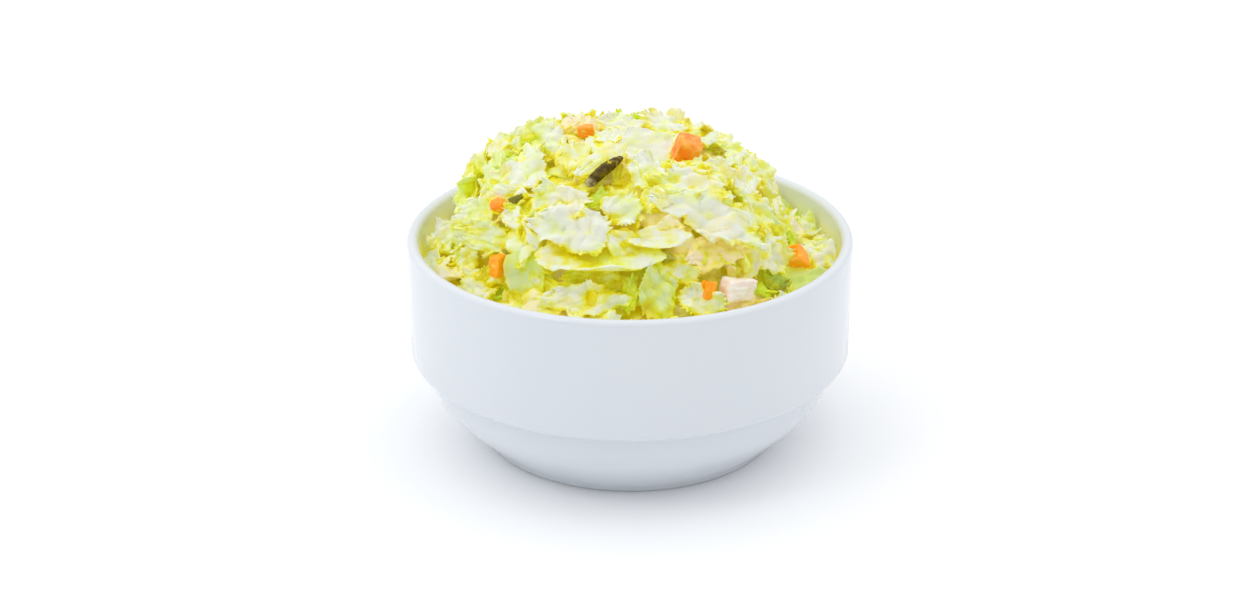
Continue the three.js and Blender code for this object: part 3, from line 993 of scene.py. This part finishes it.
def stalk_material(grain):
    made, tree, fine = food_material("pale stalk", grain, 300.0, 1600.0)
    colour = ramp(
        tree,
        fine["Patch"],
        (0.3, (0.90, 0.74, 0.62)),
        (0.5, (0.93, 0.86, 0.80)),
        (0.75, (0.94, 0.93, 0.86)),
    )
    return finished(
        made,
        {
            "Base Color": colour,
            # painted glow: a faint pinkish light of its own that brightens the stalk
            "Emission Color": (1.0, 0.72, 0.55, 1.0),
            "Emission Strength": 0.06,
            "Roughness": span(tree, fine["Grain"], 0.3, 0.7, 0.3, 0.5),
            "Subsurface Weight": 0.25,
            "Subsurface Scale": 0.002,
            "Normal": bumped(tree, fine["Grain"], 0.3, 0.0004),
        },
    )


# Pieces

TOPPINGS = {
    "carrot_1": dict(size=(7.4, 6.4, 6.6), bearing=-20, climb=0.83, turn=24, tip=12, lift=1.5, gold=0.25),
    "carrot_2": dict(size=(5.6, 5.2, 5.2), bearing=-18, climb=0.25, turn=38, tip=-8, lift=2.2, gold=1.0),
    "carrot_3": dict(size=(3.4, 5.4, 4.0), bearing=-139, climb=0.32, turn=8, tip=6, lift=1.6, gold=1.0),
    "carrot_4": dict(size=(3.0, 4.6, 3.8), bearing=-62, climb=0.285, turn=-14, tip=4, lift=1.6, gold=1.0),
    "carrot_5": dict(size=(3.0, 2.8, 3.0), bearing=-145, climb=0.565, turn=40, tip=0, lift=1.4, gold=0.6),
    "carrot_6": dict(size=(4.2, 3.0, 3.0), bearing=145, climb=0.905, turn=-40, tip=0, lift=1.4, gold=0.5),
    "gherkin_strip": dict(size=(15.4, 3.8, 2.6), bearing=-97, climb=0.8, turn=63, tip=-14, lift=1.6),
    "stalk_chunk": dict(size=(8.2, 5.6, 5.0), bearing=-52, climb=0.265, turn=-12, tip=8, lift=2.0),
}


def make_topping(name, shape, material, slot):
    points, faces, attributes = shape
    place = {k: v for k, v in TOPPINGS[name].items() if k not in ("size", "gold")}
    mesh = new_mesh(name, laid_on_heap(points, **place), faces, attributes)
    mesh.materials.append(material)
    return piece(f"{name}_piece", mesh, slot, name)


def make_toppings(carrot, gherkin, stalk):
    draw = np.random.default_rng(TOPPING_SEED)
    made = []
    for i in range(1, 7):
        name = f"carrot_{i}"
        shape = block_shape(draw, TOPPINGS[name]["size"], cells=12, roundness=9, rough=0.12, skew=0.1)
        shape[2]["gold"] = np.full(len(shape[0]), TOPPINGS[name]["gold"])
        made.append(make_topping(name, shape, carrot, "carrot"))
    length, width, height = TOPPINGS["gherkin_strip"]["size"]
    strip = spindle_shape(draw, length, width, height)
    made.append(make_topping("gherkin_strip", strip, gherkin, "gherkin"))
    chunk = block_shape(draw, TOPPINGS["stalk_chunk"]["size"], cells=16, roundness=11, rough=0.16, skew=0.12)
    made.append(make_topping("stalk_chunk", chunk, stalk, "stalk"))
    return made


def leaf(across, up, length, width, turn=0, tip=0, face=0.4, lift=0, tint=0.7, leafy=0.0, tan=0.0, herb=0.0,
         heart=0.0, crumple=1.0, cells=LEAF_CELLS, **form):
    """A large leaf: where it shows, its colouring, how much yellower its middle is (partly its own colour,
    partly painted shade in the hollow of a curled leaf), and its form.

    Across and up are millimetres in the picture plane from the middle of the picture. A tint of 1 is white
    and 0 a deep yellow."""
    return {
        "place": dict(across=across, up=up, turn=turn, tip=tip, face=face, lift=lift),
        "colouring": dict(tint=tint, leafy=leafy, tan=tan, herb=herb),
        "heart": heart,
        "form": dict(length=length, width=width, thick=LEAF_THICK, crumple=crumple, cells=cells, **form),
    }


SMOOTH = dict(blister=0.07, veins=0.08, ragged=0.03)
BIT = dict(cells=10, curl=60, crumple=0.6, blister=0.2, veins=0.1, ragged=0.2, tint=0.0, lift=2.0)

# The leaves that give the heap its look from the viewer's side
LARGE_LEAVES = [
    # boat-shaped leaf over the front, the ragged flap above it and the smooth crescent beside it
    leaf(-7.7, 11.6, 32, 16, tip=-36, curl=160, corners=1.9, crumple=0.5, tint=0.65, heart=1.2, **SMOOTH),
    leaf(-14.5, 19.2, 24, 14, -10, tip=-14, curl=36, crumple=1.2, ragged=0.2, tint=0.82),
    leaf(-0.8, 14.4, 13, 8, -38, tip=-10, curl=30, corners=1.8, crumple=0.7, tint=0.5, **SMOOTH),
    leaf(8.0, 17.0, 17, 7.5, 3, tip=-36, curl=80, corners=1.6, crumple=0.15, tint=0.62, **SMOOTH),
    # white leaves across the middle right
    leaf(19.6, 23.0, 31, 12, -18, curl=34, crumple=1.4, ragged=0.2, tint=0.82),
    leaf(16.2, 29.8, 20, 11, -8, tip=-10, curl=50, crumple=1.4, ragged=0.2, tint=0.76),
    leaf(4.6, 33.4, 14, 9, -62, tint=0.8),
    leaf(-1.6, 24.6, 12, 11, 30, crumple=1.4, ragged=0.22, tint=0.75),
    leaf(7.4, 27.4, 11, 8, 50, tint=0.55),
    # upper left
    leaf(-29.0, 33.2, 16, 13, 14, tip=-8, curl=60, crumple=1.2, tint=0.82),
    leaf(-35.2, 42.0, 10, 7.5, 80, face=0.6, crumple=0.8, blister=0.2, tint=0.35),
    leaf(-25.1, 43.4, 16, 11, 24, face=0.6, crumple=0.8, leafy=0.85),
    leaf(-20.4, 40.8, 12, 7, 74, face=0.6, crumple=0.6, tint=1.0),
    leaf(-41.0, 35.0, 12, 8, 70, face=0.6, tint=0.6),
    leaf(-33.0, 27.6, 13, 9, -30, face=0.5),
    # round the gherkin strip
    leaf(-14.6, 37.2, 13, 9, 68, curl=50, crumple=0.6, blister=0.12, tint=0.1),
    leaf(-2.2, 34.4, 9, 6, 72, crumple=0.5, blister=0.12, tint=0.05),
    leaf(-7.6, 36.4, 17, 9, 40, lift=0.9, curl=24, crumple=0.4, tint=0.3, **SMOOTH),
    leaf(-10.4, 33.4, 10, 7, 30, lift=2.7, curl=24, crumple=0.4, blister=0.12, tint=0.35),
    leaf(-14.5, 30.8, 12, 6, -6, tip=-30, curl=60, crumple=0.5, tint=0.5),
    leaf(4.4, 40.6, 14, 11, -10, face=0.5, curl=26, corners=4, crumple=0.3, tint=1.0, **SMOOTH),
    # crown
    leaf(-2.9, 46.0, 13, 9, 4, face=0.45, lift=0.8, ragged=0.22, tint=0.85),
    leaf(8.3, 46.2, 12, 9, -6, face=0.45, lift=0.8, ragged=0.22, tint=0.6),
    leaf(16.6, 46.0, 11, 7, -20, face=0.45, lift=0.8, ragged=0.2, tint=0.6),
    leaf(-13.0, 46.4, 13, 6, 2, face=0.6, lift=1.2, curl=30, crumple=0.5, tint=0.9, tan=1.0),
    leaf(-6.0, 44.0, 12, 8, 20, face=0.3),
    # right flank
    leaf(25.8, 39.6, 12, 10, -24, face=0.5, crumple=0.6, leafy=0.85),
    leaf(34.6, 36.6, 11, 9, -34, face=0.6, tint=0.55),
    leaf(30.6, 31.0, 10, 9, 58, face=0.5, tint=0.95),
    leaf(23.6, 33.4, 12, 8, -24, curl=50, tint=0.6),
    leaf(36.8, 28.6, 13, 8, -62, face=0.5, curl=50, crumple=0.9, tint=0.85),
    leaf(38.4, 20.8, 16, 6, -50, face=0.5, curl=70, crumple=0.3, leafy=1.0),
    leaf(44.2, 26.4, 13, 10, -28, face=0.6, tint=0.65),
    leaf(50.4, 20.4, 11, 9, -30, face=0.6, tint=0.92),
    leaf(30.6, 21.0, 12, 9, -70, face=0.5, tint=0.5, leafy=0.8),
    leaf(25.4, 43.6, 9, 7, -12, face=0.6, crumple=0.8),
    leaf(30.2, 36.8, 9, 8, 40, face=0.5, curl=50, crumple=0.8, leafy=0.8),
    leaf(42.0, 23.0, 10, 8, -40, face=0.5, curl=50, crumple=0.9, tint=0.75),
    leaf(33.4, 25.6, 11, 7, -46, face=0.5, curl=60, crumple=0.8, tint=0.6, leafy=0.85),
    # front right
    leaf(36.4, 12.6, 16, 12, -42, lift=1.2, crumple=1.4, ragged=0.2, tint=0.65),
    leaf(22.4, 14.0, 18, 11, 10, curl=50, tint=0.6, tan=1.15),
    leaf(12.4, 9.0, 12, 9, -20, curl=50, tint=0.5),
    leaf(18.4, -1.4, 13, 8, -6, lift=1.8, crumple=1.2, ragged=0.24, tint=0.85),
    leaf(28.6, -1.2, 11, 5, 14, lift=1.4, crumple=0.6, tint=0.3, tan=1.2),
    leaf(38.0, 4.4, 9, 6, -24, lift=1.8, crumple=0.6, tint=0.3, leafy=1.2, herb=0.4),
    leaf(47.6, 8.8, 11, 9, 32, face=0.6, lift=1.2),
    # front
    leaf(7.4, 3.0, 16, 12, 76, lift=1.6, curl=60, crumple=1.3, tint=0.4, leafy=0.98),
    leaf(0.0, 1.2, 10, 5, 80, lift=1.6, curl=60, crumple=0.6, tint=0.4, leafy=1.1),
    leaf(-12.0, -0.2, 25, 10, lift=2.6, crumple=1.3, ragged=0.17, tint=0.75),
    leaf(-9.0, 6.0, 18, 8, tip=10, curl=30, crumple=0.8, tint=0.4, leafy=0.88),
    leaf(-21.0, 2.4, 12, 8, -50, lift=1.0, tint=0.6),
    # left
    leaf(-27.2, 7.2, 17, 12, 80, lift=2.2, curl=50, crumple=0.4, tint=0.5, leafy=0.98, **SMOOTH),
    leaf(-39.6, 2.6, 12, 9, -36, lift=1.2, crumple=1.1, tint=0.65),
    leaf(-48.8, 14.2, 12, 10, 36, face=0.6, lift=1.2, crumple=1.1, tint=0.9),
    leaf(-50.0, 21.2, 9, 8, 20, face=0.6, crumple=0.9, tint=0.3),
    leaf(-37.6, 17.6, 18, 9, -8, face=0.5, curl=50, crumple=0.8, veins=0.3, tint=0.85, leafy=0.88),
    leaf(-39.0, 23.8, 15, 9, 4, tip=-16, face=0.5, curl=50, crumple=1.1, tint=0.85),
    leaf(-18.2, 26.0, 16, 9, -14, crumple=1.2, ragged=0.2, tint=0.8),
    leaf(-8.0, 27.6, 7, 6, 40, crumple=0.5, tint=0.5, leafy=1.3),
    leaf(-42.8, 11.6, 11, 10, 24, face=0.5, lift=1.0, curl=50, tint=0.75),
    leaf(-31.0, 23.4, 9, 7, -30, lift=1.0, curl=60, tint=0.9),
    leaf(-44.6, 28.6, 11, 8, 50, face=0.6, curl=50, tint=0.75),
    leaf(-28.4, 0.8, 9, 6, -30, lift=1.2, curl=50, crumple=0.6, tint=0.1, **SMOOTH),
    # green and brown bits
    leaf(23.4, 39.6, 4, 3, herb=0.5, **BIT),
    leaf(-30.6, 27.2, 4.4, 2.4, 10, herb=1.0, **BIT),
    leaf(39.4, 2.8, 6, 4, 30, herb=0.8, **BIT),
    leaf(35.4, 2.4, 5, 3, -40, leafy=1.3, **BIT),
    leaf(23.8, 0.4, 5, 3, -20, herb=1.0, **BIT),
    leaf(9.4, 12.4, 5, 3, -30, herb=0.6, **BIT),
    leaf(-44.0, 5.2, 4, 3, 30, herb=0.7, **BIT),
    leaf(49.8, 26.0, 5, 4, 60, leafy=1.2, **BIT),
    leaf(42.6, 16.4, 5, 3, -40, leafy=1.3, **BIT),
    leaf(-29.2, 9.6, 4, 3, 10, leafy=1.3, **BIT),
    leaf(-27.4, 42.6, 5, 4, 40, leafy=1.3, **BIT),
    # leaves under the gherkin strip and the dice
    leaf(-4.4, 38.6, 9, 7, 60, lift=0.5, curl=24, crumple=0.4, blister=0.12, tint=0.3),
    leaf(17.0, 35.6, 11, 7, -8, face=0.2, lift=0.9, curl=24, crumple=0.6, tint=0.85),
    leaf(-36.4, 6.2, 9, 7, 20, lift=2.2, crumple=0.8),
]


def make_large_leaves(finish, settle):
    draw = np.random.default_rng(LEAF_SEED)
    shapes = []
    for one in LARGE_LEAVES:
        points, faces, attributes = leaf_shape(draw, **one["form"])
        for key, value in one["colouring"].items():
            attributes[key] = np.full(len(points), value)
        # the middle made yellower: partly the leaf's own colour, partly painted shade in the hollow of a
        # curled leaf
        attributes["tint"] -= one["heart"] * attributes["heart"]
        shapes.append((shown_on_heap(points, **one["place"]), faces, attributes))
    host = new_mesh("large leaves", *joined(shapes))
    mesh = grown("large leaves", host, settle, {"Wall radius": SALAD_RADIUS * MM})
    mesh.materials.clear()
    mesh.materials.append(finish)
    return piece("large_leaves", mesh, "cabbage", "cabbage_salad")


STREWN_LENGTHS = ("Spacing", "Lowest", "Highest", "Clearance")
STREWN_SETTINGS = {
    "cabbage_slabs": dict(Spacing=7.0, Lean=0.35, Lowest=0.8, Highest=2.4, Clearance=3.4, Yellowest=0.86),
    "cabbage_leaves": dict(Spacing=4.6, Lean=0.5, Lowest=-1.6, Highest=0.3, Clearance=0.9, Yellowest=0.62),
    "cabbage_scraps": dict(Spacing=10.0, Lean=0.8, Lowest=0.2, Highest=1.8, Clearance=1.2),
    "cabbage_ribs": dict(Spacing=16.0, Lean=0.8, Lowest=0.0, Highest=1.6, Clearance=2.5, Greenest=0.6),
    "cabbage_crumbs": dict(Spacing=12.0, Lean=1.5, Lowest=0.5, Highest=2.0, Clearance=1.6, Greenest=0.6),
    "cabbage_shreds": dict(Spacing=15.0, Lean=0.6, Lowest=0.0, Highest=1.6, Clearance=2.0),
}


def chopped_leaves(draw, count, length, width, cuts, curl, bow, crumple, **form):
    """Leaves whose measures are drawn between two limits each."""
    return [
        leaf_shape(
            draw,
            draw.uniform(*length),
            draw.uniform(*width),
            cuts=draw.integers(*cuts),
            curl=draw.uniform(*curl),
            bow=draw.uniform(*bow),
            crumple=draw.uniform(*crumple),
            **form,
        )
        for _ in range(count)
    ]


def chopped_kinds():
    """The loose shapes to strew, by the name of the piece that they make up."""
    draw = np.random.default_rng(STREWN_SEED)
    return {
        "cabbage_slabs": chopped_leaves(
            draw, 14, (13, 23), (8, 14), (4, 8), (40, 120), (-1, 1.2), (0.8, 1.4), thick=1.2, cells=16
        ),
        "cabbage_leaves": chopped_leaves(
            draw, 14, (9, 14), (6, 9), (4, 8), (40, 130), (-1, 1.2), (0.6, 1.2),
            thick=1.2, ragged=0.08, cells=9,
        ),
        "cabbage_scraps": chopped_leaves(
            draw, 10, (5, 8), (3.5, 5.5), (4, 7), (10, 80), (-0.5, 0.6), (0.3, 0.7),
            thick=1.1, ragged=0.08, blister=0.15, cells=6,
        ),
        "cabbage_ribs": [
            block_shape(
                draw,
                (draw.uniform(5, 8), draw.uniform(3, 5), draw.uniform(1.8, 3)),
                cells=4, roundness=7, rough=0.25, skew=0.35,
            )
            for _ in range(8)
        ],
        "cabbage_crumbs": [
            block_shape(draw, draw.uniform(1.4, 3.0, 3), cells=3, roundness=5, rough=0.3, skew=0.4)
            for _ in range(8)
        ],
        "cabbage_shreds": [
            strip_shape(
                draw,
                draw.uniform(9, 15),
                draw.uniform(1.6, 3),
                draw.uniform(0.8, 1.2),
                bend=draw.uniform(20, 110),
                twist=draw.uniform(-60, 60),
            )
            for _ in range(8)
        ],
    }


def make_strewn(finish, settle, clear_of):
    """The smaller chopped cabbage, one piece for each kind."""
    made = []
    tree = scatter_tree(settle)
    for order, (name, shapes) in enumerate(chopped_kinds().items()):
        own = {k: v * MM if k in STREWN_LENGTHS else v for k, v in STREWN_SETTINGS[name].items()}
        shared = {
            "Kinds": kinds_collection(name, shapes),
            "Clear of": clear_of,
            "Wall radius": SALAD_RADIUS * MM,
            "Seed": SEED_STEP * order + 1,
            "Finish": finish,
        }
        surface = new_mesh("heap surface", *heap_surface(*HEAP_GRID, STREWN_SINK))
        mesh = grown(name, surface, tree, {**own, **shared})
        made.append(piece(name, mesh, "cabbage", "cabbage_salad"))
    return made


def shape_of(made):
    """Points, triangles and no attributes of a piece."""
    mesh = made.data
    mesh.calc_loop_triangles()
    points = np.empty(3 * len(mesh.vertices))
    mesh.vertices.foreach_get("co", points)
    faces = np.empty(3 * len(mesh.loop_triangles), np.int32)
    mesh.loop_triangles.foreach_get("vertices", faces)
    return points.reshape(-1, 3) / MM, faces.reshape(-1, 3), {}


def store_crevices(salad, others):
    """Gives each piece of the salad an attribute for how closed in its points are by all that lies near: the
    mask for the cabbage's painted shade and painted glow.
    """
    pile = new_mesh("pile", *joined([shape_of(made) for made in [*salad, *others]]))
    pile = grown("pile", pile, crevice_tree(), {"Reach": CREVICE_REACH * MM})
    closed = np.empty(len(pile.vertices), np.float32)
    pile.attributes["closed"].data.foreach_get("value", closed)
    first = 0
    for made in salad:
        count = len(made.data.vertices)
        own = made.data.attributes.new("closed", "FLOAT", "POINT")
        own.data.foreach_set("value", closed[first : first + count])
        first += count


def make_core(finish):
    """The inside of the heap, seen between the pieces: lumpy, and closed underneath."""
    points, faces = heap_surface(*CORE_GRID, STREWN_SINK + CORE_BELOW)
    draw = np.random.default_rng(CORE_SEED)
    lumps = sum(height * ripple(points, draw, size) for height, size in CORE_LUMPS)
    points = points + unit_rows(points - HEAP_MIDDLE) * lumps[:, None]
    radius = np.hypot(points[:, 0], points[:, 1])
    points[:, :2] *= np.minimum(1, SALAD_RADIUS / np.maximum(radius, 1))[:, None]
    rounds = CORE_GRID[0]
    under = len(points)
    points = np.vstack([points, (0, 0, FILL_HEIGHT - CORE_DEPTH)])
    faces += [[(i + 1) % rounds, i, under] for i in range(rounds)]
    mesh = new_mesh("heap core", points, faces, {"tint": np.full(len(points), CORE_TINT)})
    mesh.materials.append(finish)
    return piece("heap_core", mesh, "cabbage", "cabbage_salad")


# Stage

def make_floor():
    made, tree = new_material("pale floor")
    place = node(tree, "ShaderNodeTexCoord").outputs["Object"]
    drift = output(tree, "ShaderNodeTexNoise", {"Vector": place, "Scale": 3.0})
    pale = ramp(tree, drift, (0.3, (0.94, 0.95, 0.965)), (0.7, (0.95, 0.96, 0.975)))
    finished(made, {"Base Color": pale, "Roughness": 0.9})
    corners = [(x * FLOOR_HALF, y * FLOOR_HALF, 0) for x, y in ((-1, -1), (1, -1), (1, 1), (-1, 1))]
    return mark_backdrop(new_object("floor", new_mesh("floor", corners, [(0, 1, 2, 3)]), made))


def make_sky():
    """A soft white room: bright overhead, dimmer towards the walls and dimmest behind the viewer."""
    world = bpy.data.worlds.new("white room")
    bpy.context.scene.world = world
    world.use_nodes = True
    tree = world.node_tree
    place = node(tree, "ShaderNodeTexCoord").outputs["Generated"]
    way = node(tree, "ShaderNodeSeparateXYZ", {0: place}).outputs
    overhead = span(tree, way["Z"], 0.0, 1.0, 0.52, 1.36)
    left = span(tree, way["X"], -1.0, 0.0, 0.41, 0.0)
    right = span(tree, way["X"], 0.0, 1.0, 0.0, 0.27)
    front = span(tree, way["Y"], -1.0, 0.0, -0.36, 0.0)
    sides = math_node(tree, "ADD", left, right)
    bright = math_node(tree, "ADD", math_node(tree, "ADD", overhead, front), sides)
    fill(tree, tree.nodes["Background"].inputs, {"Strength": bright, "Color": (1, 1, 1, 1)})


def aim(made, place, target):
    """Puts a lamp or camera in its place, in metres, turned to the target."""
    made.location = place
    made.rotation_euler = (Vector(target) - Vector(place)).to_track_quat("-Z", "Y").to_euler()
    bpy.context.scene.collection.objects.link(made)


def make_softbox():
    light = bpy.data.lights.new("left softbox", "AREA")
    light.shape = "SQUARE"
    light.size = SOFTBOX_SIZE
    light.energy = SOFTBOX_POWER
    aim(bpy.data.objects.new("left softbox", light), SOFTBOX_PLACE, SOFTBOX_TARGET)


def make_camera():
    camera = bpy.data.cameras.new("camera")
    camera.sensor_fit = "HORIZONTAL"
    camera.sensor_width = SENSOR_WIDTH
    camera.lens = LENS
    camera.clip_start = 0.01
    made = bpy.data.objects.new("camera", camera)
    target = Vector((0, 0, VIEW_TARGET_HEIGHT * MM))
    aim(made, target + VIEW_DISTANCE * MM * Vector(TO_VIEWER), target)
    bpy.context.scene.camera = made


make_camera()
make_sky()
make_floor()
make_softbox()
bpy.context.scene.view_settings.view_transform = "Standard"

grain = food_grain_group()
cabbage = cabbage_material(grain)
settle = settle_tree()
make_bowl(glaze_material())
toppings = make_toppings(carrot_material(grain), gherkin_material(grain), stalk_material(grain))
large = make_large_leaves(cabbage, settle)
kept_clear = joined([shape_of(made) for made in [*toppings, large]])
clear_mark = new_object("kept clear", new_mesh("kept clear", *kept_clear))
salad = [large, make_core(cabbage), *make_strewn(cabbage, settle, clear_mark)]
bpy.data.objects.remove(clear_mark)
store_crevices(salad, toppings)
